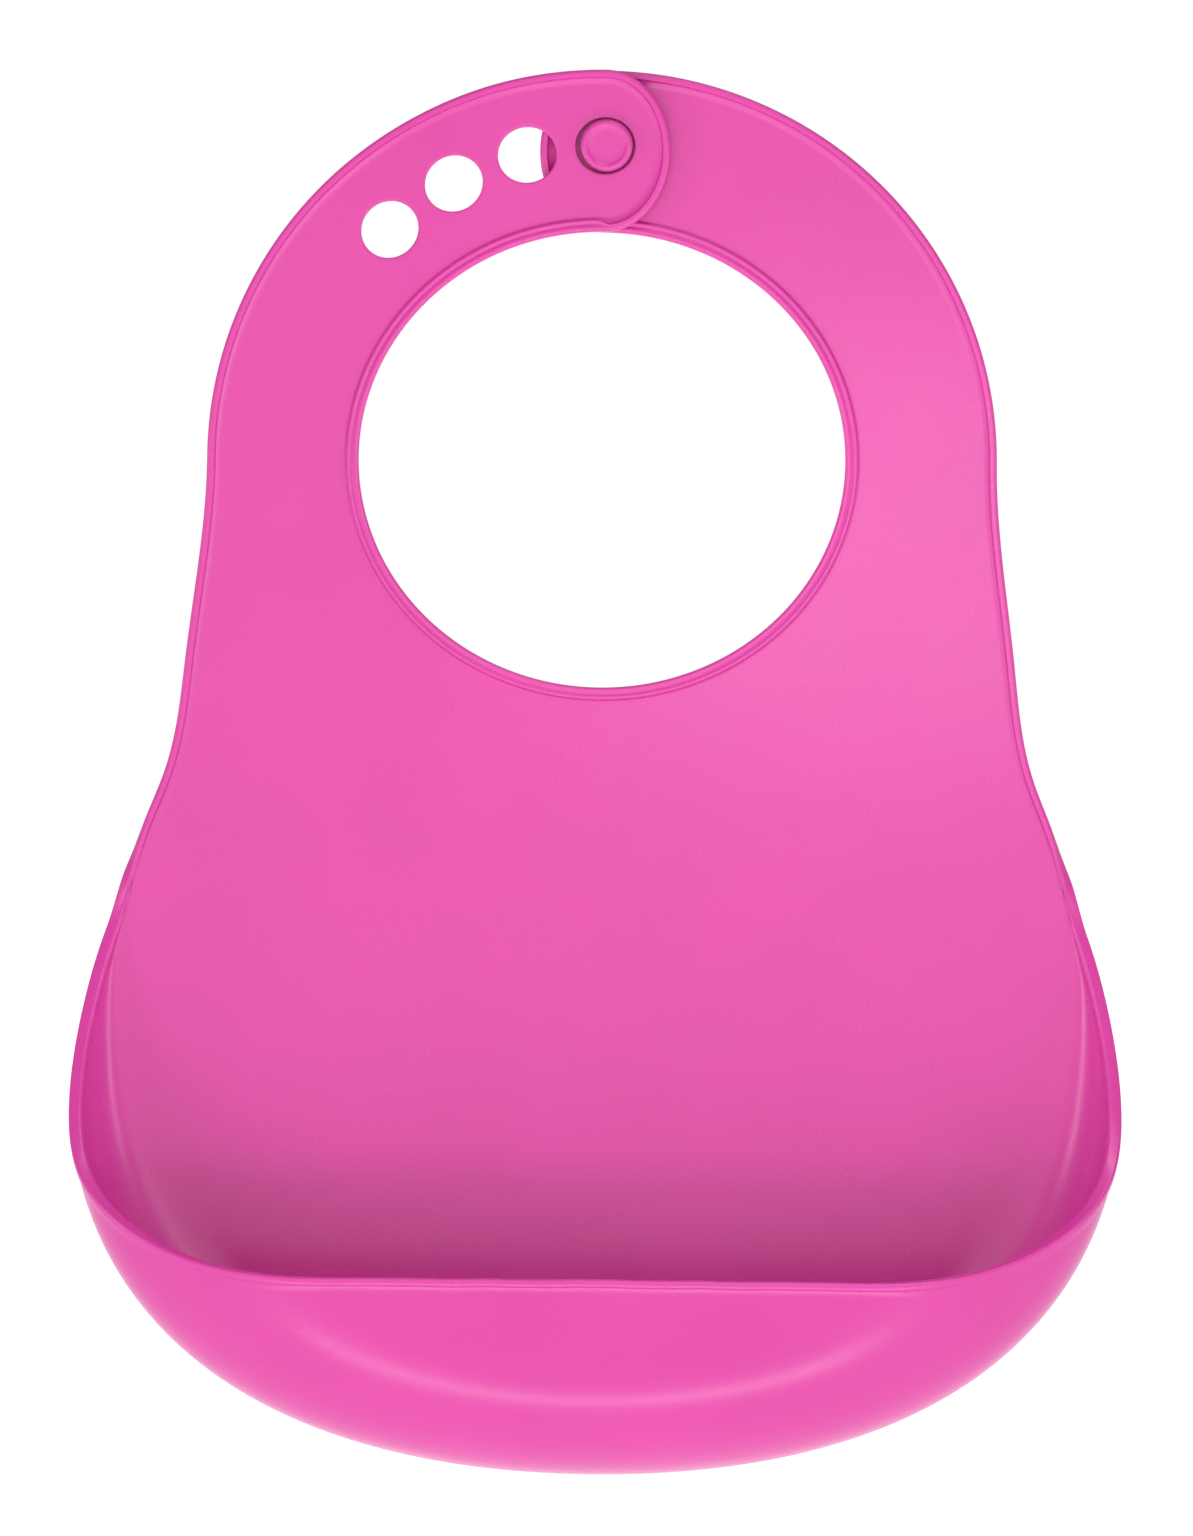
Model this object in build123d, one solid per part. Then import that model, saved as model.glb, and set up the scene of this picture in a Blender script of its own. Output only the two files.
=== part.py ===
"""A one-piece silicone bib: chest sheet, buttoned collar straps and a catch pocket.

The bib stands as it is worn or hung: +Z up, the pocket in front towards -Y, the stud strap at +X.
The origin is the middle of the neck opening, on the back face of the sheet. All sizes are in
millimetres. The moulding is cut at the lines where it flexes, with a crease gap at each cut.
"""

from build123d import *
import math
import os

# Sheet and beads
sheet_thickness = 2.0
bead_width = 1.7
bead_height = 0.8
neck_bead_width = 2.8

# Neck opening and collar
neck_half_width = 53.5
neck_half_height = 50.0
collar_half_width = 86.8
collar_half_height = 85.6

# Chest and the flat sheet behind the pocket
waist_half_width = 91.1
waist_height = -44.0
flare_half_width = 96.0
flare_height = -71.0
flare_slope = 0.36
flare_fullness = 0.32
hip_half_width = 105.2
hip_height = -101.0
panel_bottom = -213.0
panel_fullness = 0.60

# Catch pocket
pocket_half_width = 115.1
pocket_widest_height = -136.0
pocket_bottom = -221.7
pocket_fullness = 0.63
pocket_depth = 43.0
belly_depth = 21.0
front_half_width = 78.0
front_bottom = -202.0
pocket_wall_thickness = 2.0
rim_side_height = -88.0
rim_middle_depth = 21.0
rim_middle_height = -150.0
rim_front_height = -179.5
rim_lip_height = 2.0
rim_lip_slant = 1.6
rim_lip_swell = 0.5
root_turn = math.radians(65)
section_steps = 9

# Straps: holes, overlapping ends and the button stud
hole_circle_radius = 68.9
hole_pitch_angle = 14.4
hole_count = 4
hole_length = 12.9
hole_width = 12.2
tab_length = 14.3
strap_clearance = 0.3
ramp_outer_x = 50.0
ramp_inner_x = 20.0
stud_side_offset = 0.3
stud_neck_radius = 3.6
stud_head_radius = 5.7
stud_head_thickness = 2.0
stud_head_round = 0.8
stud_head_clearance = 0.25
stud_dish_radius = 3.9
stud_dish_depth = 0.3

# Creases where the moulding flexes: heights across the sheet, angles from the top of the collar
crease_gap = 0.4
apron_crease_height = -75.0
shoulder_crease_height = -6.0
strap_crease_angles = (72.0, 52.0, 21.6)
past_middle_angle = -40.0

# Larger than what they cut, for cutting tools
reach = 4 * (collar_half_width + abs(pocket_bottom))
crease_reach = 1.5 * collar_half_width

strap_offset = sheet_thickness + bead_height + strap_clearance
tab_middle = (collar_half_height + neck_half_height) / 2
tab_half_height = (collar_half_height - neck_half_height) / 2


def lower_curve(half_width, top, bottom, fullness):
    """The edges of a U from the left side at the height top, round the bottom, to the right."""
    edges = []
    for side in (-1, 1):
        shoulder = (side * half_width, top)
        pulled_down = (side * half_width, top + fullness * (bottom - top))
        pulled_out = (side * half_width * fullness, bottom)
        edges.append(Bezier(shoulder, pulled_down, pulled_out, (0, bottom)).edge())
    return edges


def side_curves(half_width, widest, inset):
    """The edges on both sides from the widest place up to where the chest begins to flare."""
    rise = flare_fullness * (flare_height - widest)
    top_x = flare_half_width - inset
    edges = []
    for side in (-1, 1):
        start = (side * half_width, widest)
        pulled_up = (side * half_width, widest + rise)
        pulled_down = (side * (top_x + flare_slope * rise), flare_height - rise)
        edges.append(Bezier(start, pulled_up, pulled_down, (side * top_x, flare_height)).edge())
    return edges


def flat_outline(inset=0.0):
    """The bib's outline in the plane of the sheet, without the neck opening."""
    collar_x = collar_half_width - inset
    hip_x = hip_half_width - inset
    top = EllipticalCenterArc((0, 0), collar_x, collar_half_height - inset, 0, arc_size=180)
    edges = [top.edge(), *lower_curve(hip_x, hip_height, panel_bottom + inset, panel_fullness)]
    edges += side_curves(hip_x, hip_height, inset)
    for side in (-1, 1):
        collar = (side * collar_x, 0)
        waist = (side * (waist_half_width - inset), waist_height)
        flare = (side * (flare_half_width - inset), flare_height)
        tangents = ((0, -1), (side * flare_slope, -1))
        edges.append(Spline(collar, waist, flare, tangents=tangents).edge())
    return make_face(edges)


def neck_opening(margin=0.0):
    return Ellipse(neck_half_width + margin, neck_half_height + margin)


def half_plane(side):
    """Everything on one side of the middle line."""
    return Pos(side * reach / 2, 0) * Rectangle(reach, reach)


def strap_outline(side, inset=0.0):
    """Half of the collar and chest on one side, with its rounded strap end past the middle."""
    half = (flat_outline(inset) - neck_opening(inset)) & half_plane(side)
    return half + Pos(0, tab_middle) * Ellipse(tab_length - inset, tab_half_height - inset)


def at_angle(angle, radius, side):
    """A point on the collar, its angle counted from the top towards one side."""
    turn = math.radians(angle)
    return (side * radius * math.sin(turn), radius * math.cos(turn))


def crease_line(angle, side):
    """The narrow cut across a strap at one crease."""
    x, z = at_angle(angle, collar_half_width, side)
    return Pos(x, z) * Rot(0, 0, -side * angle) * Rectangle(crease_gap, crease_reach)


def sector(start, end, side):
    """A wedge about the neck's middle, between two angles from the top."""
    corners = [(0, 0), at_angle(start, reach, side), at_angle(end, reach, side)]
    return make_face(Polyline(*corners, close=True).edges())


def band_between(low, high):
    """Everything between two heights."""
    return Pos(0, (low + high) / 2) * Rectangle(reach, high - low)


def strap_regions(side):
    """The flat region of each strap segment, from the shoulder to the strap's end."""
    base, middle, end = strap_crease_angles
    above = band_between(shoulder_crease_height + crease_gap / 2, reach / 2)
    shoulder = (half_plane(side) & above) - sector(past_middle_angle, base, side)
    regions = {
        "shoulder": shoulder,
        "base": sector(middle, base, side),
        "middle": sector(end, middle, side),
        "end": sector(past_middle_angle, end, side),
    }
    for name, region in regions.items():
        for angle in strap_crease_angles:
            region -= crease_line(angle, side)
        yield name, region


def stepped_slab(thickness):
    """A sheet that steps forward towards the middle in an S, to lie over the other strap."""
    run = (ramp_outer_x - ramp_inner_x) / 3
    lines = []
    for depth in (0.0, -thickness):
        low = depth - strap_offset
        start = (-ramp_outer_x, depth)
        end = (-ramp_inner_x, low)
        lines.append(Line((-reach, depth), start))
        lines.append(Bezier(start, (-ramp_outer_x + run, depth), (-ramp_inner_x - run, low), end))
        lines.append(Line(end, (reach, low)))
    lines.append(Line((-reach, 0), (-reach, -thickness)))
    lines.append(Line((reach, -strap_offset), (reach, -strap_offset - thickness)))
    profile = make_face([edge for line in lines for edge in line.edges()])
    return extrude(profile, reach / 2, both=True)


def upright(region, depth, start=0.0):
    """A flat region made solid: its front is at depth, its back at start."""
    return extrude(Plane.XZ.offset(start) * region, depth - start)


def hole(number, side):
    """One oval button hole, counted from the strap's end."""
    angle = number * hole_pitch_angle
    oval = Rot(0, 0, -side * angle) * Ellipse(hole_length / 2, hole_width / 2)
    return Pos(*at_angle(angle, hole_circle_radius, side)) * oval


def strap_beads(side):
    """The raised beads of one strap: round its outer edge and end, and the wider neck bead."""
    edge = strap_outline(side) - strap_outline(side, bead_width)
    neck = (neck_opening(neck_bead_width) - neck_opening()) & half_plane(side)
    return edge + (neck & strap_outline(side))


def hole_strap_parts():
    """The strap with the holes, which steps forward to lie over the stud strap."""
    side = -1
    holes = Sketch() + [hole(number, side) for number in range(hole_count)]
    outline = strap_outline(side) - holes
    beads = strap_beads(side) - holes
    sheet_slab = stepped_slab(sheet_thickness)
    bead_slab = stepped_slab(sheet_thickness + bead_height)
    in_front = 2 * (strap_offset + sheet_thickness + bead_height)
    for name, region in strap_regions(side):
        sheet = upright(outline & region, in_front, -in_front) & sheet_slab
        bead = upright(beads & region, in_front, -in_front) & bead_slab
        yield name, sheet + bead


def stud_strap_parts():
    """The plain strap that carries the button stud, in the plane of the sheet."""
    side = 1
    outline = strap_outline(side)
    beads = strap_beads(side)
    for name, region in strap_regions(side):
        sheet = upright(outline & region, sheet_thickness)
        yield name, sheet + upright(beads & region, sheet_thickness + bead_height)


def stud():
    """The button stud's neck and its rounded head, which pass through the last hole."""
    place = Plane.XZ.offset(sheet_thickness) * Pos(stud_side_offset, hole_circle_radius)
    neck_length = strap_offset + stud_head_clearance
    neck = place * extrude(Circle(stud_neck_radius), neck_length)
    head = extrude(Circle(stud_head_radius), stud_head_thickness)
    head = fillet(head.edges().group_by(Axis.Z)[-1], stud_head_round)
    head -= Pos(0, 0, stud_head_thickness) * Cylinder(stud_dish_radius, 2 * stud_dish_depth)
    return neck, place * Pos(0, 0, neck_length) * head


def pocket_section(turn, shrink, back):
    """One upright outline of the pocket, its wall moved in by shrink.

    Seen from above, the wall is two parts of ellipses: turn goes from -root_turn at the panel,
    past 0 at the widest place, to 90 degrees at the front. The first outline is at the depth back.
    """
    if turn < 0:
        root = math.cos(root_turn)
        swell = (math.cos(turn) - root) / (1 - root)
        depth = belly_depth + (belly_depth - back) * math.sin(turn) / math.sin(root_turn)
        half_width = hip_half_width + (pocket_half_width - hip_half_width) * swell
        bottom = panel_bottom + (pocket_bottom - panel_bottom) * swell
        widest = hip_height + (pocket_widest_height - hip_height) * swell
        fullness = panel_fullness + (pocket_fullness - panel_fullness) * swell
    else:
        swell = math.cos(turn)
        depth = belly_depth + (pocket_depth - belly_depth - shrink) * math.sin(turn)
        half_width = front_half_width + (pocket_half_width - front_half_width) * swell
        bottom = front_bottom + (pocket_bottom - front_bottom) * swell
        widest = pocket_widest_height
        fullness = pocket_fullness
    half_width -= shrink
    top_x = flare_half_width - shrink
    edges = lower_curve(half_width, widest, bottom + shrink, fullness)
    edges += side_curves(half_width, widest, shrink)
    edges.append(Line((-top_x, flare_height), (top_x, flare_height)).edge())
    return Plane.XZ.offset(depth) * make_face(edges)


def pocket_volume(shrink, back):
    """The space inside a surface that lies shrink within the pocket's outer surface."""
    step = (root_turn + math.pi / 2) / section_steps
    turns = [-root_turn + step * number for number in range(section_steps + 1)]
    return loft([pocket_section(turn, shrink, back) for turn in turns])


def below_rim(lower=0.0):
    """Everything under the pocket's rim, which dips from the sides to the front."""
    drop = lower * rim_lip_height
    slant = lower * rim_lip_slant
    side = (slant, rim_side_height - drop)
    middle = (slant - rim_middle_depth, rim_middle_height - drop)
    front = (slant - pocket_depth, rim_front_height - drop)
    rim = ThreePointArc(side, middle, front)
    corners = [front, (-reach, front[1]), (-reach, -reach), (reach, -reach), (reach, side[1]), side]
    profile = make_face([*rim.edges(), *Polyline(*corners).edges()])
    return extrude(Plane.YZ * profile, reach / 2, both=True)


def in_front_of(depth):
    """Everything further forward than a depth."""
    return Pos(0, -depth - reach / 2, 0) * Box(2 * reach, reach, 2 * reach)


def pocket():
    """The pocket's wall, which stands on the flat panel, and the thick lip along its rim."""
    behind = sheet_thickness / 2
    wall = pocket_volume(0.0, 0.0) - pocket_volume(pocket_wall_thickness, behind)
    wall = wall & in_front_of(sheet_thickness) & below_rim(1.0)
    lip = pocket_volume(-rim_lip_swell, 0.0)
    lip -= pocket_volume(pocket_wall_thickness + rim_lip_swell, behind)
    lip = lip & in_front_of(sheet_thickness + rim_lip_swell) & below_rim()
    return wall, lip - below_rim(1.0)


def chest_panel():
    """The sheet under the neck opening, up to the creases at the shoulders."""
    low = apron_crease_height + crease_gap / 2
    high = shoulder_crease_height - crease_gap / 2
    region = band_between(low, high)
    face = flat_outline() - neck_opening()
    beads = flat_outline() - flat_outline(bead_width)
    beads += neck_opening(neck_bead_width) - neck_opening()
    sheet = upright(face & region, sheet_thickness)
    return sheet + upright(beads & region, sheet_thickness + bead_height)


def apron_panel():
    """The flat sheet below the crease, which is the back of the pocket and flares into its wall."""
    high = apron_crease_height - crease_gap / 2
    below = upright(band_between(-reach / 2, high), sheet_thickness)
    beads = flat_outline() - flat_outline(bead_width)
    beads &= band_between(rim_side_height - rim_lip_height, high)
    return (pocket_volume(0.0, 0.0) & below) + upright(beads, sheet_thickness + bead_height)


def only_solid(shape):
    """The one solid of a shape, so that each piece is written as a single solid."""
    solids = shape.solids()
    if len(solids) != 1:
        raise ValueError(f"expected one solid, found {len(solids)}")
    return solids[0]


def build():
    parts = {"chest_panel": chest_panel(), "apron_panel": apron_panel()}
    parts["pocket_wall"], parts["pocket_rim"] = pocket()
    for prefix, segments in (("hole", hole_strap_parts()), ("stud", stud_strap_parts())):
        for name, shape in segments:
            node = f"{prefix}_side_shoulder" if name == "shoulder" else f"{prefix}_strap_{name}"
            parts[node] = shape
    parts["stud_neck"], parts["stud_head"] = stud()
    return parts


os.makedirs("parts", exist_ok=True)
for node, shape in build().items():
    export_step(only_solid(shape), f"parts/{node}.step")
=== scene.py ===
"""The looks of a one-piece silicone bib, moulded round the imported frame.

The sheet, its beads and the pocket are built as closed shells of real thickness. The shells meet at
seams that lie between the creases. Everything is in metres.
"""

import math

import bmesh
import bpy
import numpy as np
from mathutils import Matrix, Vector
from mathutils.geometry import delaunay_2d_cdt


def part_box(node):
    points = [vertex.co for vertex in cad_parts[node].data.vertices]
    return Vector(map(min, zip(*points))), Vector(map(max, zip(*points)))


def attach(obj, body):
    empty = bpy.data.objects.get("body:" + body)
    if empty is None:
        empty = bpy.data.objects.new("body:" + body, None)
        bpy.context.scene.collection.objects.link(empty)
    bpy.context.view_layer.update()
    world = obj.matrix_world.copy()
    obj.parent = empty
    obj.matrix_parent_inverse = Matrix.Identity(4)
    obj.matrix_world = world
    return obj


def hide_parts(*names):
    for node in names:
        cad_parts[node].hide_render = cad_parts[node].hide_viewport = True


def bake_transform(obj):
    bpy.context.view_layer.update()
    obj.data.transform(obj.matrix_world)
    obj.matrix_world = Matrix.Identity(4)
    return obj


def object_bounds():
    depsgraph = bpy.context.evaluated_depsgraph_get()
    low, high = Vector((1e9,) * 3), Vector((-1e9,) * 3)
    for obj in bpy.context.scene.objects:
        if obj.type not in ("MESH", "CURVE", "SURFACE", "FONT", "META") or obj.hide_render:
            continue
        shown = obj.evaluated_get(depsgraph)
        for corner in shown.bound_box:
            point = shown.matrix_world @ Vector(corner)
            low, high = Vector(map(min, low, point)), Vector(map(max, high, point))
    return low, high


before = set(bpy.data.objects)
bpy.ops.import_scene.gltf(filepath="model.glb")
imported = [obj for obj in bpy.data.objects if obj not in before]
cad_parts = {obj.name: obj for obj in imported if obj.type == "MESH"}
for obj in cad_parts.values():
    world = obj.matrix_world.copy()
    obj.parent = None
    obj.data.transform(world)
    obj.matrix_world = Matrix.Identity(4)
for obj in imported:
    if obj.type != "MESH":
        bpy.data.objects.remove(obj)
cad_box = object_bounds()

MM = 0.001

# Sheet, beads and rounded edges
SHEET = 2.0 * MM
HALF = SHEET / 2
BEAD_HEIGHT = 0.8 * MM
BEAD_WIDTH = 1.7 * MM
NECK_BEAD_WIDTH = 2.8 * MM
NECK_GROOVE = 0.3 * MM
BEAD_FOOT = 0.5 * MM
FRONT_ROUND = 0.7 * MM
BACK_ROUND = 0.6 * MM
GROOVE_HALF_WIDTH = 0.35 * MM
STRIP_WIDTH = 3.4 * MM
LIP_BEAD_HEIGHT = 0.5 * MM

# Neck opening, collar and chest
NECK_HALF_WIDTH = 53.5 * MM
NECK_HALF_HEIGHT = 50.0 * MM
COLLAR_HALF_WIDTH = 86.8 * MM
COLLAR_HALF_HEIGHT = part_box("hole_strap_end")[1].z
WAIST_HALF_WIDTH = 91.1 * MM
WAIST_HEIGHT = -44.0 * MM
WAIST_SLOPE = 0.113
FLARE_HALF_WIDTH = 96.0 * MM
FLARE_HEIGHT = -71.0 * MM
FLARE_SLOPE = 0.36
FLARE_FULLNESS = 0.32

# Pocket
HIP_HALF_WIDTH = 105.2 * MM
HIP_HEIGHT = -101.0 * MM
PANEL_BOTTOM = -213.0 * MM
PANEL_FULLNESS = 0.60
POCKET_HALF_WIDTH = 115.1 * MM
POCKET_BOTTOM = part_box("pocket_wall")[0].z
POCKET_DEPTH = -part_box("pocket_wall")[0].y
WIDEST_HEIGHT = -136.0 * MM
POCKET_FULLNESS = 0.63
BELLY_DEPTH = 21.0 * MM
FRONT_HALF_WIDTH = 78.0 * MM
FRONT_BOTTOM = -202.0 * MM
FRONT_RISE = 60 * MM
RIM_POINTS = ((0, -88 * MM), (21 * MM, -150 * MM), (43 * MM, -179.5 * MM))
CURL_START = -78 * MM
CURL_END = -104 * MM
GROWTH_RUN = 10 * MM
GROWTH_SOFTNESS = 0.5 * MM
FOLD_SOFTNESS = 1.5 * MM

# Straps and stud
HOLE_RADIUS = 68.9 * MM
HOLE_PITCH = 14.4
HOLE_HALF_LENGTH = 6.45 * MM
HOLE_HALF_WIDTH = 6.1 * MM
HOLE_STRIP = 0.9 * MM
HOLE_ROUND = 0.35 * MM
TAB_LENGTH = 14.3 * MM
STRAP_OFFSET = 3.1 * MM
RAMP_OUTER_X = 50 * MM
RAMP_INNER_X = 20 * MM
STUD_X = 0.3 * MM
STUD_NECK_RADIUS = 3.6 * MM
STUD_FILLET = 0.4 * MM
STUD_FRONT_ROUND = 0.8 * MM
STUD_BACK_ROUND = 0.3 * MM
STUD_RING_WIDTH = 1.1 * MM
STUD_DISH = 0.3 * MM

# Seams between the shells, midway between the creases
CHEST_SEAM = -24 * MM
STRAP_CREASES = (72, 52, 21.6)
STRAP_SEAMS = (83, 62, 36)
SEAM_REACH = 10 * MM
NECK_SEAM_ANGLE = math.degrees(math.acos(CHEST_SEAM / NECK_HALF_HEIGHT))

# Mesh fineness
EDGE_STEP = 1.6 * MM
FILL_STEP = 2.6 * MM
PATH_STEP = 0.4 * MM
FLAT_RUN = 14 * MM
COLUMN_ROWS = 80
TURN_WEIGHT = 12 * MM
SAME_POINT = 0.002 * MM


def smooth(share):
    share = np.clip(share, 0, 1)
    return share * share * (3 - 2 * share)


def bezier(points, shares):
    """Points of a cubic Bezier at the shares of its length."""
    a, b, c, d = (np.array(p, float) for p in points)
    s = np.asarray(shares)[:, None]
    return (1 - s) ** 3 * a + 3 * (1 - s) ** 2 * s * b + 3 * (1 - s) * s**2 * c + s**3 * d


def lengths(points):
    """The distance along a polyline to each of its points."""
    return np.concatenate([[0], np.cumsum(np.linalg.norm(np.diff(points, axis=0), axis=1))])


def resample(points, step):
    """The polyline again, with points evenly spaced at about step."""
    along = lengths(points)
    count = max(2, round(along[-1] / step) + 1)
    places = np.linspace(0, along[-1], count)
    return np.stack([np.interp(places, along, column) for column in points.T], axis=1)


def unit(vectors):
    return vectors / np.linalg.norm(vectors, axis=1)[:, None]


def outward(points):
    """Unit vectors away from the material, which lies to the left along the run."""
    along = np.gradient(points, axis=0)
    return unit(np.stack([along[:, 1], -along[:, 0]], axis=1))


def edge_run(curve, step):
    """Evenly spaced points along a finely divided edge, and the directions away from it."""
    run = resample(curve, step)
    places, fine = lengths(run), lengths(curve)
    places *= fine[-1] / places[-1]
    away = np.stack([np.interp(places, fine, column) for column in outward(curve).T], axis=1)
    return run, unit(away)


def soften(values, steps):
    """A run of values blurred with a bell curve, its ends carried on straight."""
    reach = int(4 * steps) + 1
    before = values[0] + (values[0] - values[1]) * np.arange(reach, 0, -1)[:, None]
    after = values[-1] + (values[-1] - values[-2]) * np.arange(1, reach + 1)[:, None]
    padded = np.concatenate([before, values, after])
    kernel = np.exp(-0.5 * (np.arange(-reach, reach + 1) / steps) ** 2)
    kernel /= kernel.sum()
    return np.stack([np.convolve(column, kernel, "valid") for column in padded.T], axis=1)


# Outlines: points are (x, z), on the right-hand side, and are mirrored for the left


def ellipse(half_width, half_height, start, end, centre=0.0):
    """Points of an ellipse between two angles from its top, in degrees, positive to the right."""
    turns = np.radians(np.linspace(start, end, 400))
    return np.stack([half_width * np.sin(turns), centre + half_height * np.cos(turns)], axis=1)


def chest_edge():
    """The outer edge from the collar's widest place down to where the chest flares."""
    drops = np.linspace(0, -FLARE_HEIGHT, 80)
    knots = ((0, COLLAR_HALF_WIDTH, 0), (-WAIST_HEIGHT, WAIST_HALF_WIDTH, WAIST_SLOPE),
             (-FLARE_HEIGHT, FLARE_HALF_WIDTH, FLARE_SLOPE))
    xs = np.zeros(len(drops))
    for (low, x0, slope0), (high, x1, slope1) in zip(knots, knots[1:]):
        here = (drops >= low) & (drops <= high)
        run = high - low
        s = (drops[here] - low) / run
        xs[here] = ((2 * s**3 - 3 * s**2 + 1) * x0 + (s**3 - 2 * s**2 + s) * run * slope0
                    + (3 * s**2 - 2 * s**3) * x1 + (s**3 - s**2) * run * slope1)
    return np.stack([xs, -drops], axis=1)


def lower_edge(half_width, top, bottom, fullness):
    """A U's right half, from the middle of its bottom up to its widest place."""
    points = ((0, bottom), (half_width * fullness, bottom),
              (half_width, top + fullness * (bottom - top)), (half_width, top))
    return bezier(points, np.linspace(0, 1, 160))


def side_edge(half_width, widest, inset):
    """The pocket's side, from its widest place up to where the chest begins to flare."""
    rise = FLARE_FULLNESS * (FLARE_HEIGHT - widest)
    top = FLARE_HALF_WIDTH - inset
    points = ((half_width, widest), (half_width, widest + rise),
              (top + FLARE_SLOPE * rise, FLARE_HEIGHT - rise), (top, FLARE_HEIGHT))
    return bezier(points, np.linspace(0, 1, 80))


def pocket_outline(turn):
    """One upright outline of the pocket's middle surface, and its depth in front of the origin.

    turn goes from -90 degrees at the panel, past 0 at the widest place, to 90 degrees at the front.
    """
    swell = math.cos(turn)
    if turn < 0:
        depth = BELLY_DEPTH + (BELLY_DEPTH - HALF) * math.sin(turn)
        start = (HIP_HALF_WIDTH, PANEL_BOTTOM, HIP_HEIGHT, PANEL_FULLNESS)
    else:
        depth = BELLY_DEPTH + (POCKET_DEPTH - HALF - BELLY_DEPTH) * math.sin(turn)
        start = (FRONT_HALF_WIDTH, FRONT_BOTTOM, WIDEST_HEIGHT, POCKET_FULLNESS)
    full = (POCKET_HALF_WIDTH, POCKET_BOTTOM, WIDEST_HEIGHT, POCKET_FULLNESS)
    half_width, bottom, widest, fullness = (a + (b - a) * swell for a, b in zip(start, full))
    half_width -= HALF
    lower = lower_edge(half_width, widest, bottom + HALF, fullness)
    side = side_edge(half_width, widest, HALF)
    chest = chest_edge()[::-1] - (HALF, 0)
    return np.concatenate([lower, side[1:], chest[1:]]), depth


def rim_height(depth):
    """The height of the pocket's rim at a depth, on the circle through the rim's three points."""
    (ax, ay), (bx, by), (cx, cy) = RIM_POINTS
    twice = 2 * (ax * (by - cy) + bx * (cy - ay) + cx * (ay - by))
    a, b, c = ax * ax + ay * ay, bx * bx + by * by, cx * cx + cy * cy
    centre_x = (a * (by - cy) + b * (cy - ay) + c * (ay - by)) / twice
    centre_y = (a * (cx - bx) + b * (ax - cx) + c * (bx - ax)) / twice
    radius = math.hypot(ax - centre_x, ay - centre_y)
    inside = np.maximum(radius**2 - (np.minimum(depth, cx) - centre_x) ** 2, 0)
    return centre_y - np.sqrt(inside)


# Sections of the free edges: distances in from the edge and heights from the sheet's middle


def edge_section(width, front, back, groove=0.0):
    """From the front face over the bead, round the edge and on to the back face."""
    section = [(STRIP_WIDTH, HALF)]
    for share in np.linspace(0, 1, 6):
        section.append((width + BEAD_FOOT * (0.5 - share), HALF + front * smooth(share)))
    top = HALF + front
    middle = (FRONT_ROUND + width - BEAD_FOOT / 2) / 2
    for share in (-0.9, -0.45, 0, 0.45, 0.9):
        dip = groove * (1 - smooth(abs(share) / 0.9))
        section.append((middle - GROOVE_HALF_WIDTH * share, top - dip))
    for turn in np.linspace(0, math.pi / 2, 8):
        section.append((FRONT_ROUND * (1 - math.sin(turn)), top - FRONT_ROUND * (1 - math.cos(turn))))
    low = -HALF - back
    for turn in np.linspace(0, math.pi / 2, 7):
        section.append((BACK_ROUND * (1 - math.cos(turn)), low + BACK_ROUND * (1 - math.sin(turn))))
    for share in np.linspace(1, 0, 6):
        section.append((width + BEAD_FOOT * (0.5 - share), -HALF - back * smooth(share)))
    section.append((STRIP_WIDTH, -HALF))
    return np.array(section)


def hole_section():
    """The plain rounded edge of a button hole."""
    section = [(HOLE_STRIP, HALF)]
    for turn in np.linspace(0, math.pi / 2, 6):
        section.append((HOLE_ROUND * (1 - math.sin(turn)), HALF - HOLE_ROUND * (1 - math.cos(turn))))
    for turn in np.linspace(0, math.pi / 2, 6):
        section.append((HOLE_ROUND * (1 - math.cos(turn)), HOLE_ROUND * (1 - math.sin(turn)) - HALF))
    section.append((HOLE_STRIP, -HALF))
    return np.array(section)


OUTER_SECTION = edge_section(BEAD_WIDTH, BEAD_HEIGHT, 0.0)
NECK_SECTION = edge_section(NECK_BEAD_WIDTH, BEAD_HEIGHT, 0.0, NECK_GROOVE)


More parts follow.
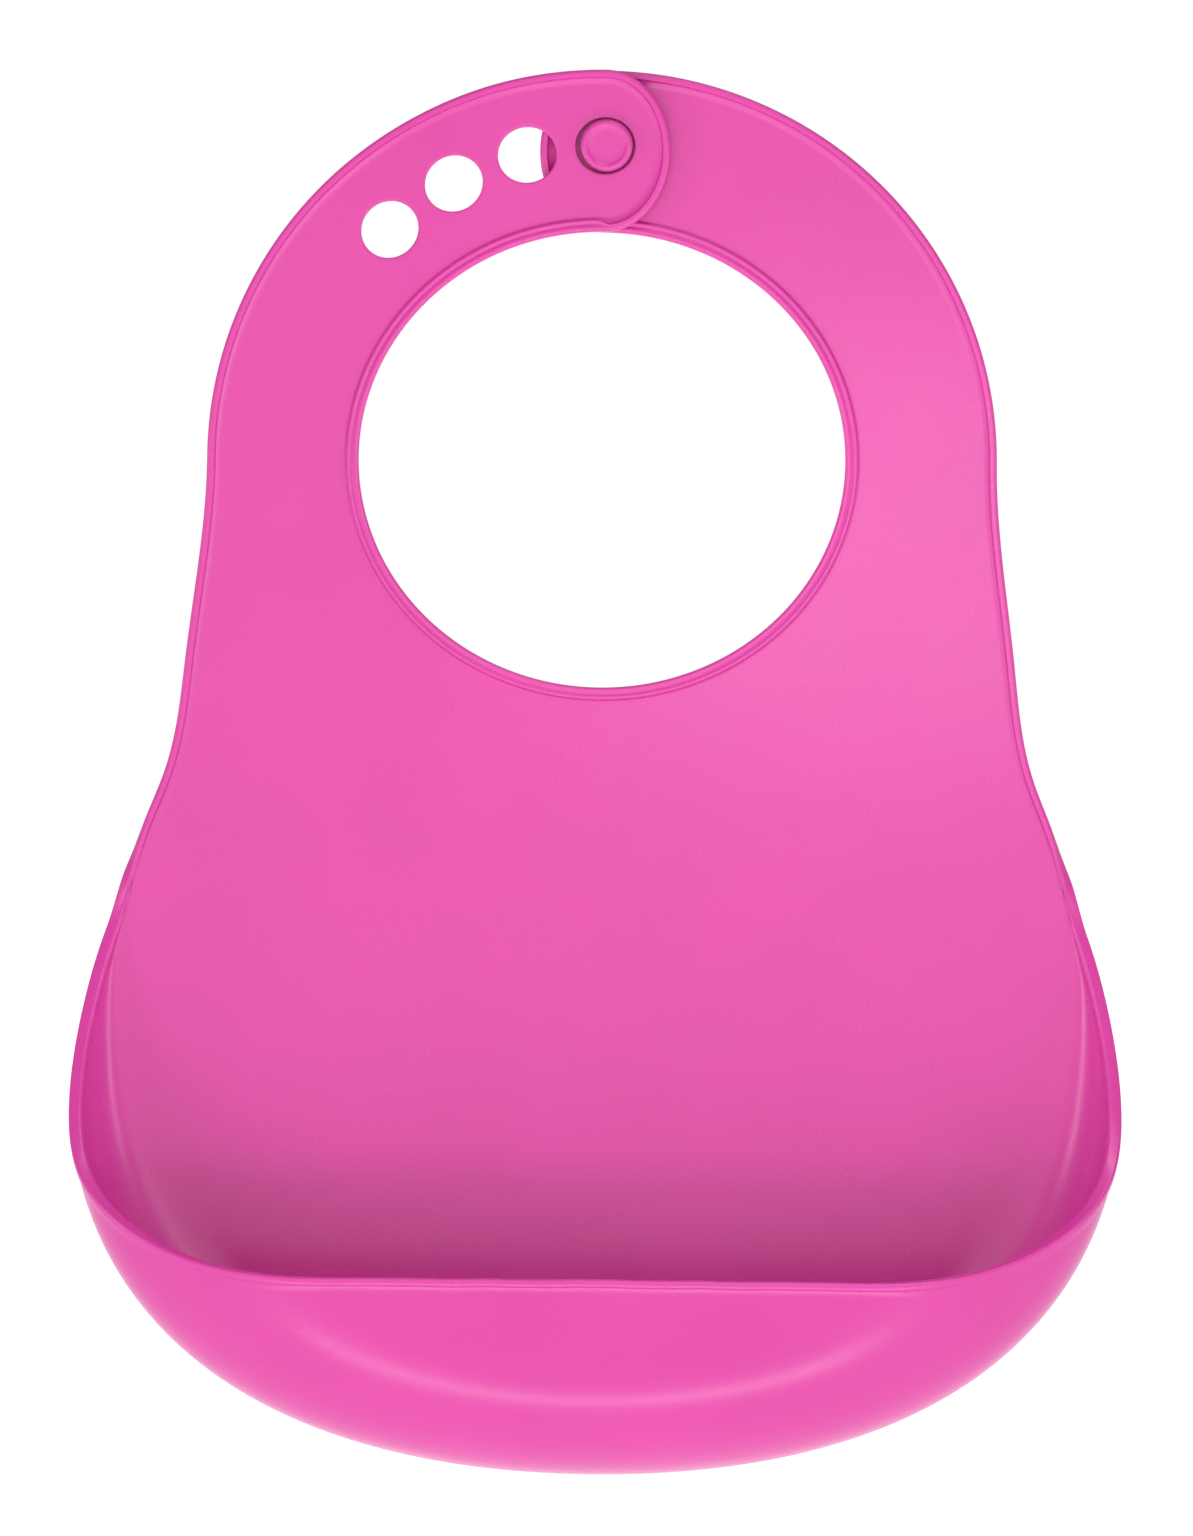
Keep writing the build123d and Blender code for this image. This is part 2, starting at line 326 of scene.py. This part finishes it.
class Shell:
    """The faces of one closed piece."""

    def __init__(self):
        self.points = []
        self.faces = []
        self.flat_faces = []

    def add(self, points, faces, flat=False):
        base = len(self.points)
        self.points.extend(points)
        target = self.flat_faces if flat else self.faces
        target.extend(tuple(base + i for i in face) for face in faces)

    def grid(self, rows, closed=False):
        """Quads over an array of points; closed joins the last row to the first."""
        count, width = len(rows), len(rows[0])
        faces = []
        for k in range(count if closed else count - 1):
            after = (k + 1) % count
            for j in range(width - 1):
                here, there = k * width + j, after * width + j
                faces.append((here, there, there + 1, here + 1))
        self.add([tuple(p) for row in rows for p in row], faces)

    def strip(self, run, away, sections, closed=False):
        """A free edge along a flat run, and the inner line where the flat faces join it."""
        if sections.ndim == 2:
            sections = np.repeat(sections[None], len(run), axis=0)
        flat = run[:, None, :] - sections[:, :, :1] * away[:, None, :]
        heights = -HALF - sections[:, :, 1]
        rows = np.stack([flat[:, :, 0], heights, flat[:, :, 1]], axis=2)
        self.grid(rows, closed)
        self.ends = (rows[0], rows[-1])
        return flat[:, 0]

    def fill(self, outline, openings=()):
        """The front and back faces inside an outline, clear of its openings."""
        flat, triangles = triangulate(outline, openings)
        for depth in (-SHEET, 0.0):
            self.add([(x, depth, z) for x, z in flat], triangles)

    def cap(self, line, *ends):
        """Closes a seam: the line across the sheet, and the cut ends of the edges beside it."""
        for (x0, z0), (x1, z1) in zip(line, line[1:]):
            corners = [(x0, -SHEET, z0), (x1, -SHEET, z1), (x1, 0.0, z1), (x0, 0.0, z0)]
            self.add(corners, [(0, 1, 2, 3)], flat=True)
        for end in ends:
            self.add([tuple(p) for p in end], [tuple(range(len(end)))], flat=True)

    def finish(self, name, side=1, shape=None):
        """Makes the mesh object, mirrored to its side and moved by shape."""
        points = np.array(self.points)
        if shape is not None:
            points = shape(points)
        points[:, 0] *= side
        mesh = bpy.data.meshes.new(name)
        mesh.from_pydata(points.tolist(), [], self.faces + self.flat_faces)
        smooth_flags = [True] * len(self.faces) + [False] * len(self.flat_faces)
        mesh.polygons.foreach_set("use_smooth", smooth_flags)
        work = bmesh.new()
        work.from_mesh(mesh)
        bmesh.ops.remove_doubles(work, verts=work.verts, dist=SAME_POINT)
        bmesh.ops.recalc_face_normals(work, faces=work.faces)
        for face in work.faces:
            if not face.smooth:
                for edge in face.edges:
                    edge.smooth = False
        open_edges = sum(not edge.is_manifold for edge in work.edges)
        if open_edges:
            print(f"{name} has {open_edges} open edges")
        work.to_mesh(mesh)
        work.free()
        piece = bpy.data.objects.new(name, mesh)
        bpy.context.scene.collection.objects.link(piece)
        return piece


def inside(points, loop):
    """Which points lie inside a closed loop."""
    x, z = points[:, :1], points[:, 1:]
    x0, z0 = loop[:, 0], loop[:, 1]
    x1, z1 = np.roll(x0, -1), np.roll(z0, -1)
    level = np.where(z1 == z0, 1e-12, z1 - z0)
    crossing = ((z0 > z) != (z1 > z)) & (x < x0 + (z - z0) / level * (x1 - x0))
    return crossing.sum(axis=1) % 2 == 1


def triangulate(outline, openings):
    """Even triangles over a flat area."""
    low, high = outline.min(axis=0), outline.max(axis=0)
    rows = np.arange(low[1], high[1], FILL_STEP * 0.866)
    columns = np.arange(low[0], high[0], FILL_STEP)
    spots = np.array([(x + (i % 2) * FILL_STEP / 2, z) for i, z in enumerate(rows) for x in columns])
    loops = [np.asarray(outline), *openings]
    keep = inside(spots, loops[0])
    for loop in loops[1:]:
        keep &= ~inside(spots, loop)
    spots = spots[keep]
    borders = np.concatenate(loops)
    nearest = np.array([np.min(np.sum((borders - spot) ** 2, axis=1)) for spot in spots])
    spots = spots[nearest > (0.6 * FILL_STEP) ** 2]
    edges, base = [], 0
    for loop in loops:
        edges += [(base + i, base + (i + 1) % len(loop)) for i in range(len(loop))]
        base += len(loop)
    everything = np.concatenate([borders, spots]) / MM
    found = delaunay_2d_cdt([Vector(p) for p in everything], edges, [], 1, 1e-5)
    flat = np.array([(v.x, v.y) for v in found[0]]) * MM
    triangles = np.array(found[2])
    middles = flat[triangles].mean(axis=1)
    keep = inside(middles, loops[0])
    for loop in loops[1:]:
        keep &= ~inside(middles, loop)
    return flat.tolist(), [tuple(face) for face in triangles[keep].tolist()]


def between(*corners):
    """Straight lines across the sheet from corner to corner, their points about evenly spaced."""
    runs = [resample(np.array(pair), FILL_STEP) for pair in zip(corners, corners[1:])]
    return np.concatenate([runs[0], *(run[1:] for run in runs[1:])])


# The straps


def collar(start, end):
    """The outer edge of the collar between two angles from its top."""
    return edge_run(ellipse(COLLAR_HALF_WIDTH, COLLAR_HALF_HEIGHT, start, end), EDGE_STEP)


def neck(start, end):
    """The neck opening's edge between two angles from its top."""
    return edge_run(ellipse(NECK_HALF_WIDTH, NECK_HALF_HEIGHT, start, end), EDGE_STEP)


def strap_segment(start, end, openings=(), shell=None):
    """A stretch of collar between two seam angles, start being the one further down."""
    return close_segment(shell or Shell(), collar(start, end), neck(end, start), openings)


def close_segment(shell, outer, inner, openings=(), corner=()):
    """Builds a segment from its outer edge, which runs up, and its neck edge, which runs down."""
    outer_line = shell.strip(*outer, OUTER_SECTION)
    outer_ends = shell.ends
    neck_line = shell.strip(*inner, NECK_SECTION)
    neck_ends = shell.ends
    upper = between(outer_line[-1], neck_line[0])
    lower = between(neck_line[-1], *corner, outer_line[0])
    shell.cap(upper, outer_ends[1], neck_ends[0])
    shell.cap(lower, outer_ends[0], neck_ends[1])
    shell.fill(np.concatenate([outer_line, upper[1:-1], neck_line, lower[1:-1]]), openings)
    return shell


def level_near_seam(run, away):
    """Turns an edge's directions level near the seam across the chest."""
    share = smooth((SEAM_REACH - abs(run[:, 1] - CHEST_SEAM)) / SEAM_REACH)[:, None]
    return unit(away * (1 - share) + np.array((1.0, 0.0)) * share)


def shoulder():
    """From the seam on the chest up to the first seam on the collar."""
    chest = chest_edge()[::-1]
    seam_x = np.interp(-CHEST_SEAM, -chest[::-1, 1], chest[::-1, 0])
    chest = chest[chest[:, 1] > CHEST_SEAM + 0.1 * MM]
    upper = ellipse(COLLAR_HALF_WIDTH, COLLAR_HALF_HEIGHT, 90, STRAP_SEAMS[0])
    run, away = edge_run(np.concatenate([[(seam_x, CHEST_SEAM)], chest, upper[1:]]), EDGE_STEP)
    corner = (seam_x - HALF - FLAT_RUN, CHEST_SEAM)
    outer = (run, level_near_seam(run, away))
    return close_segment(Shell(), outer, neck(STRAP_SEAMS[0], NECK_SEAM_ANGLE), corner=[corner])


def hole_outline(number):
    """A button hole's edge with the material to its left, and the directions into the hole."""
    angle = math.radians(number * HOLE_PITCH)
    turns = np.linspace(0, 2 * math.pi, 57)[:-1]
    along, across = HOLE_HALF_LENGTH * np.cos(turns), -HOLE_HALF_WIDTH * np.sin(turns)
    slopes = [-np.cos(turns) / HOLE_HALF_LENGTH, np.sin(turns) / HOLE_HALF_WIDTH]
    into = unit(np.stack(slopes, axis=1))
    right = np.array((math.cos(angle), -math.sin(angle)))
    up = np.array((math.sin(angle), math.cos(angle)))
    edge = HOLE_RADIUS * up + along[:, None] * right + across[:, None] * up
    return edge, into[:, :1] * right + into[:, 1:] * up


def cut_holes(shell, numbers):
    """The rounded edges of the button holes, and their outlines on the flat faces."""
    return [shell.strip(*hole_outline(number), hole_section(), closed=True) for number in numbers]


def strap_end(holes):
    """The strap's end: up the outer edge, round the tab past the middle and back down the neck."""
    shell = Shell()
    middle = (COLLAR_HALF_HEIGHT + NECK_HALF_HEIGHT) / 2
    tab = ellipse(TAB_LENGTH, (COLLAR_HALF_HEIGHT - NECK_HALF_HEIGHT) / 2, 0, -180, middle)
    outer = ellipse(COLLAR_HALF_WIDTH, COLLAR_HALF_HEIGHT, STRAP_SEAMS[2], 0)
    back = ellipse(NECK_HALF_WIDTH, NECK_HALF_HEIGHT, 0, STRAP_SEAMS[2])
    to_neck = np.concatenate([outer, tab[1:]])
    run, away = edge_run(np.concatenate([to_neck, back[1:]]), EDGE_STEP / 2)
    share = smooth((lengths(run) - lengths(to_neck)[-1] + 1.5 * MM) / (3 * MM))[:, None, None]
    line = shell.strip(run, away, OUTER_SECTION * (1 - share) + NECK_SECTION * share)
    ends = shell.ends
    seam = between(line[-1], line[0])
    shell.cap(seam, *ends)
    shell.fill(np.concatenate([line, seam[1:-1]]), cut_holes(shell, holes))
    return shell


def strap_middle(holes):
    """The stretch between the last two seams, with any holes in it."""
    shell = Shell()
    return strap_segment(*STRAP_SEAMS[1:], cut_holes(shell, holes), shell)


def over_the_other(points):
    """Steps the hole strap forward towards the middle, to lie over the stud strap."""
    share = smooth((RAMP_OUTER_X - points[:, 0]) / (RAMP_OUTER_X - RAMP_INNER_X))
    points[:, 1] -= STRAP_OFFSET * share
    return points


# The chest and the pocket


def root_line():
    """Where the middle surface leaves the flat panel, from the bottom's middle up to the seam."""
    outline, _ = pocket_outline(-math.pi / 2)
    stop = np.argmax(outline[:, 1] > CHEST_SEAM)
    before, after = outline[stop - 1], outline[stop]
    share = (CHEST_SEAM - before[1]) / (after[1] - before[1])
    line = np.concatenate([outline[:stop], [before + (after - before) * share]])
    return edge_run(line, EDGE_STEP)


def column_paths(roots, away):
    """The sheet's path out of the panel at each root: distances out along away, and depths."""
    turns = np.linspace(-math.pi / 2, math.pi / 2, 90)
    outlines = [pocket_outline(turn) for turn in turns]
    paths = []
    for root, direction in zip(roots, away):
        along = np.array((-direction[1], direction[0]))
        path = [(-FLAT_RUN, HALF)]
        for outline, depth in outlines:
            both = np.concatenate([outline[40:0:-1] * (-1, 1), outline])
            offset = both - root
            ahead = offset @ along
            out = offset @ direction
            cross = np.nonzero(ahead[:-1] * ahead[1:] <= 0)[0]
            share = ahead[cross] / (ahead[cross] - ahead[cross + 1] + 1e-15)
            hits = out[cross] + share * (out[cross + 1] - out[cross])
            path.append((hits[np.argmin(abs(hits))] if len(hits) else path[-1][0], depth))
        path.append((path[-1][0] - FRONT_RISE, path[-1][1]))
        even = resample(np.array(path), PATH_STEP)
        paths.append(soften(even, FOLD_SOFTNESS / PATH_STEP))
    return paths


def pocket_columns():
    """The middle surface from the flat panel to the free edge, one column for each root."""
    roots, away = root_line()
    away[0] = (0, -1)
    away = level_near_seam(roots, away)
    curl = smooth((CURL_START - roots[:, 1]) / (CURL_START - CURL_END))
    reaches, bent = [], []
    for root, direction, path, share in zip(roots, away, column_paths(roots, away), curl):
        along = lengths(path)
        height = root[1] + path[:, 0] * direction[1]
        above = (height > rim_height(path[:, 1])) & (along > FLAT_RUN)
        reaches.append(along[np.argmax(above)] if above.any() else along[-1])
        flat = np.stack([along - FLAT_RUN, np.full(len(along), HALF)], axis=1)
        bent.append((along, flat * (1 - share) + path * share))
    spare = np.array(reaches) - FLAT_RUN - HALF
    grown = GROWTH_SOFTNESS * np.logaddexp(0, spare / GROWTH_SOFTNESS)
    grown *= smooth((FLARE_HEIGHT - roots[:, 1]) / GROWTH_RUN)
    reaches = FLAT_RUN + HALF + soften(grown[:, None], 2.0)[:, 0]
    dense = np.linspace(0, 1, 241)
    columns = []
    for root, direction, (along, path), reach in zip(roots, away, bent, reaches):
        out = np.interp(dense * reach, along, path[:, 0])
        depth = np.interp(dense * reach, along, path[:, 1])
        across, height = (root[i] + out * direction[i] for i in (0, 1))
        columns.append(np.stack([across, -depth, height], axis=1))
    columns = np.array(columns)
    mirrored = columns[:0:-1] * (-1, 1, 1)
    reaches = np.concatenate([reaches[:0:-1], reaches])
    curl = np.concatenate([curl[:0:-1], curl])
    return np.concatenate([mirrored, columns]), reaches, curl


def wall_rows(columns, reaches, curl):
    """The closed outer part of the chest and pocket: front rows, edge section and back rows."""
    down = np.gradient(columns, axis=1)
    across = np.gradient(columns, axis=0)
    normals = np.cross(down, across)
    normals /= np.linalg.norm(normals, axis=2)[:, :, None]
    edge_angle = np.linalg.norm(np.cross(down[:, -1], across[:, -1]), axis=1)
    edge_angle /= np.linalg.norm(down[:, -1], axis=1) * np.linalg.norm(across[:, -1], axis=1)
    dense = np.linspace(0, 1, columns.shape[1])
    lip = smooth(curl * 1.5)
    rows = []
    for column, normal, reach, square, share in zip(columns, normals, reaches, edge_angle, lip):
        front = BEAD_HEIGHT + (LIP_BEAD_HEIGHT - BEAD_HEIGHT) * share
        section = edge_section(BEAD_WIDTH, front, LIP_BEAD_HEIGHT * share)
        inner = STRIP_WIDTH / square
        heading = down_angle(normal)
        measure = dense * reach + TURN_WEIGHT * heading
        last = np.interp(1 - inner / reach, dense, measure)
        places = np.interp(np.linspace(0, last, COLUMN_ROWS), measure, dense)[:-1]
        shares = np.concatenate([places, 1 - section[:, 0] / square / reach, places[::-1]])
        flat = np.full(len(places), HALF)
        heights = np.concatenate([flat, section[:, 1], -flat])
        middle = np.stack([np.interp(shares, dense, column[:, i]) for i in range(3)], axis=1)
        facing = np.stack([np.interp(shares, dense, normal[:, i]) for i in range(3)], axis=1)
        facing /= np.linalg.norm(facing, axis=1)[:, None]
        rows.append(middle + facing * heights[:, None])
    return np.array(rows)


def down_angle(normals):
    """How far the sheet has turned, in radians, counted along a column."""
    steps = np.sum(normals[:-1] * normals[1:], axis=1)
    return np.concatenate([[0], np.cumsum(np.arccos(np.clip(steps, -1, 1)))])


def chest_and_pocket():
    shell = Shell()
    rows = wall_rows(*pocket_columns())
    shell.grid(rows)
    outer_line = rows[:, 0][:, [0, 2]]
    neck_line = shell.strip(*neck(NECK_SEAM_ANGLE, 360 - NECK_SEAM_ANGLE), NECK_SECTION)
    neck_ends = shell.ends
    right = between(outer_line[-1], neck_line[0])
    left = between(neck_line[-1], outer_line[0])
    shell.cap(right, rows[-1], neck_ends[0])
    shell.cap(left, rows[0], neck_ends[1])
    shell.fill(np.concatenate([outer_line, right[1:-1], neck_line, left[1:-1]]))
    return shell


def button_stud():
    """The stud's neck and rounded head, turned about its own axis."""
    head_low, head_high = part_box("stud_head")
    middle_z = (head_low.z + head_high.z) / 2
    head_radius = (head_high.z - head_low.z) / 2
    front, behind = head_low.y, head_high.y
    neck_radius = STUD_NECK_RADIUS
    profile = [
        (0.0, -HALF),
        (neck_radius / 2, -HALF),
        (neck_radius, -HALF),
        (neck_radius, -SHEET - STUD_FILLET),
        (neck_radius, behind + STUD_FILLET),
        (neck_radius + STUD_FILLET / 4, behind + STUD_FILLET / 4),
        (neck_radius + STUD_FILLET, behind),
        (head_radius - 2 * STUD_BACK_ROUND, behind),
    ]
    for turn in np.linspace(0, math.pi / 2, 5)[1:]:
        profile.append((head_radius - STUD_BACK_ROUND * (1 - math.sin(turn)),
                        behind - STUD_BACK_ROUND * (1 - math.cos(turn))))
    for turn in np.linspace(0, math.pi / 2, 9):
        profile.append((head_radius - STUD_FRONT_ROUND * (1 - math.cos(turn)),
                        front + STUD_FRONT_ROUND * (1 - math.sin(turn))))
    ring_radius = head_radius - STUD_FRONT_ROUND
    for share in np.linspace(0, 1, 7):
        profile.append((ring_radius - STUD_RING_WIDTH * (0.25 + 0.75 * share),
                        front + STUD_DISH * smooth(share)))
    for share in (0.7, 0.4, 0.0):
        profile.append(((ring_radius - STUD_RING_WIDTH) * share, front + STUD_DISH))
    turns = np.linspace(0, 2 * math.pi, 73)[:-1]
    rows = [
        [(STUD_X + out * math.cos(turn), y, middle_z + out * math.sin(turn)) for out, y in profile]
        for turn in turns
    ]
    shell = Shell()
    shell.grid(rows, closed=True)
    return shell


# Materials

PINK = (0.61, 0.035, 0.305)
STUD_SHADE = 0.98
DARK_MOTTLE, LIGHT_MOTTLE = 0.965, 1.035
NOISE_LOW, NOISE_HIGH = 0.2, 0.8
SURFACE = {
    "IOR": 1.43,
    "Specular IOR Level": 0.64,
    "Sheen Weight": 0.12,
    "Sheen Roughness": 0.35,
    "Sheen Tint": (1.0, 0.55, 0.8, 1),
    "Coat Weight": 0.12,
    "Coat Roughness": 0.22,
}


def silicone(name, colour):
    """Satin moulded silicone: a faint mottle, a fine mould grain and a gentle ripple."""
    material = bpy.data.materials.new(name)
    material.use_nodes = True
    nodes, links = material.node_tree.nodes, material.node_tree.links
    shader = nodes["Principled BSDF"]
    for name_of_input, value in SURFACE.items():
        shader.inputs[name_of_input].default_value = value
    place = nodes.new("ShaderNodeTexCoord")

    def noise(scale, detail, roughness):
        texture = nodes.new("ShaderNodeTexNoise")
        texture.inputs["Scale"].default_value = scale
        texture.inputs["Detail"].default_value = detail
        texture.inputs["Roughness"].default_value = roughness
        links.new(place.outputs["Object"], texture.inputs["Vector"])
        return texture.outputs["Fac"]

    def spread(value, low, high):
        scaled = nodes.new("ShaderNodeMapRange")
        scaled.interpolation_type = "SMOOTHSTEP"
        scaled.inputs["From Min"].default_value = NOISE_LOW
        scaled.inputs["From Max"].default_value = NOISE_HIGH
        scaled.inputs["To Min"].default_value = low
        scaled.inputs["To Max"].default_value = high
        links.new(value, scaled.inputs["Value"])
        return scaled.outputs["Result"]

    tint = nodes.new("ShaderNodeMix")
    tint.data_type = "RGBA"
    tint.inputs["A"].default_value = (*(DARK_MOTTLE * c for c in colour), 1)
    tint.inputs["B"].default_value = (*(min(1.0, LIGHT_MOTTLE * c) for c in colour), 1)
    links.new(spread(noise(28, 3, 0.5), 0, 1), tint.inputs["Factor"])
    links.new(tint.outputs["Result"], shader.inputs["Base Color"])
    links.new(spread(noise(55, 3, 0.5), 0.25, 0.31), shader.inputs["Roughness"])

    def bump(height, strength, distance):
        relief = nodes.new("ShaderNodeBump")
        relief.inputs["Strength"].default_value = strength
        relief.inputs["Distance"].default_value = distance
        links.new(height, relief.inputs["Height"])
        return relief

    grain = bump(noise(700, 2, 0.5), 0.12, 0.03 * MM)
    ripple = bump(noise(16, 2, 0.4), 0.35, 0.6 * MM)
    links.new(ripple.outputs["Normal"], grain.inputs["Normal"])
    links.new(grain.outputs["Normal"], shader.inputs["Normal"])
    return material


sheet_silicone = silicone("pink_silicone", PINK)
stud_silicone = silicone("pink_stud_silicone", tuple(STUD_SHADE * c for c in PINK))


def dress(piece, material):
    piece.data.materials.append(material)
    return piece


# The pieces; only the stud is put on a body

panel = dress(chest_and_pocket().finish("chest_and_pocket"), sheet_silicone)
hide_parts("chest_panel", "apron_panel", "pocket_wall", "pocket_rim")
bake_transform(panel)


for prefix, side in (("hole", -1), ("stud", 1)):
    holes = side < 0
    step = over_the_other if holes else None
    name = f"{prefix}_side_shoulder"
    piece = shoulder().finish(f"{name}_shell", side)
    dress(piece, sheet_silicone)
    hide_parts(name)
    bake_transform(piece)
    shells = {
        "base": strap_segment(*STRAP_SEAMS[:2]),
        "middle": strap_middle((3,) if holes else ()),
        "end": strap_end((0, 1, 2) if holes else ()),
    }
    for (part, shell), angle in zip(shells.items(), STRAP_CREASES):
        name = f"{prefix}_strap_{part}"
        piece = shell.finish(f"{name}_shell", side, step)
        dress(piece, sheet_silicone)
        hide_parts(name)
        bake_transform(piece)

stud = dress(button_stud().finish("button_stud"), stud_silicone)
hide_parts("stud_neck", "stud_head")
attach(stud, "stud_strap_end")


# Floor, light and camera

FLOOR_DROP = 0.30
FLOOR_RADIUS = 60
WHITE = (1, 1, 1, 1)
FLOOR_GLOW = 0.7
SKY_LIGHT = 0.45
SKY_SEEN = 1.0
LENS, SENSOR_WIDTH = 250, 36
VIEW_HEIGHT = 0.3379
CAMERA_X, CAMERA_Z = -0.0005, -0.0677
CAMERA_ROLL = -0.6
SOFTBOXES = (  # name, place, aim, width, height, power in watts
    ("front", (0.0, -0.25, -0.0235), (0.0, 0.0, -0.0235), 0.34, 0.297, 0.24),
    ("near_right", (0.068, -0.25, -0.010), (0.065, 0.0, -0.015), 0.12, 0.10, 0.07),
    ("key", (0.2, -0.5, 0.75), (0.0, 0.0, -0.1), 0.4, 0.08, 1.0),
    ("low_front", (0.0, -0.32, -0.33), (0.0, -0.04, -0.195), 0.3, 0.05, 0.2),
    ("left_side", (-0.9, -0.45, -0.1), (0.0, 0.0, -0.12), 0.1, 0.5, 1.5),
    ("right_side", (0.9, -0.45, -0.1), (0.0, 0.0, -0.12), 0.1, 0.5, 1.0),
)


def floor():
    """A wide pale disc, well below the hanging bib, that glows a little so that it looks white."""
    work = bmesh.new()
    bmesh.ops.create_circle(work, cap_ends=True, radius=FLOOR_RADIUS, segments=128)
    mesh = bpy.data.meshes.new("floor")
    work.to_mesh(mesh)
    work.free()
    disc = bpy.data.objects.new("floor", mesh)
    disc.location.z = cad_box[0].z - FLOOR_DROP
    bpy.context.scene.collection.objects.link(disc)
    material = bpy.data.materials.new("pale_floor")
    material.use_nodes = True
    shader = material.node_tree.nodes["Principled BSDF"]
    shader.inputs["Base Color"].default_value = (0.9, 0.9, 0.9, 1)
    shader.inputs["Roughness"].default_value = 0.8
    shader.inputs["Emission Color"].default_value = WHITE
    shader.inputs["Emission Strength"].default_value = FLOOR_GLOW
    mesh.materials.append(material)


def softbox(name, place, aim, width, height, power):
    """A soft light at a place, turned towards aim, and hidden from the camera."""
    light = bpy.data.lights.new(name, "AREA")
    light.shape = "RECTANGLE"
    light.size = width
    light.size_y = height
    light.energy = power
    lamp = bpy.data.objects.new(name, light)
    lamp.location = place
    lamp.rotation_euler = (Vector(aim) - Vector(place)).to_track_quat("-Z", "Y").to_euler()
    lamp.visible_camera = False
    bpy.context.scene.collection.objects.link(lamp)


def surroundings():
    """A sky that is plain white to the camera, and lights the bib more dimly."""
    world = bpy.data.worlds.new("studio")
    bpy.context.scene.world = world
    world.use_nodes = True
    nodes, links = world.node_tree.nodes, world.node_tree.links
    lit = nodes["Background"]
    seen = nodes.new("ShaderNodeBackground")
    for background, strength in ((lit, SKY_LIGHT), (seen, SKY_SEEN)):
        background.inputs["Color"].default_value = WHITE
        background.inputs["Strength"].default_value = strength
    rays = nodes.new("ShaderNodeLightPath")
    either = nodes.new("ShaderNodeMixShader")
    links.new(rays.outputs["Is Camera Ray"], either.inputs["Fac"])
    links.new(lit.outputs["Background"], either.inputs[1])
    links.new(seen.outputs["Background"], either.inputs[2])
    links.new(either.outputs["Shader"], nodes["World Output"].inputs["Surface"])


def camera():
    """Level with the middle of the view, straight in front, from far away."""
    lens = bpy.data.cameras.new("camera")
    lens.lens = LENS
    lens.sensor_width = SENSOR_WIDTH
    body = bpy.data.objects.new("camera", lens)
    distance = LENS / SENSOR_WIDTH * VIEW_HEIGHT
    body.location = (CAMERA_X, -distance, CAMERA_Z)
    body.rotation_euler = (math.radians(90), math.radians(CAMERA_ROLL), 0)
    bpy.context.scene.collection.objects.link(body)
    bpy.context.scene.camera = body
    bpy.context.scene.view_settings.view_transform = "Standard"


floor()
surroundings()
for softbox_values in SOFTBOXES:
    softbox(*softbox_values)
camera()
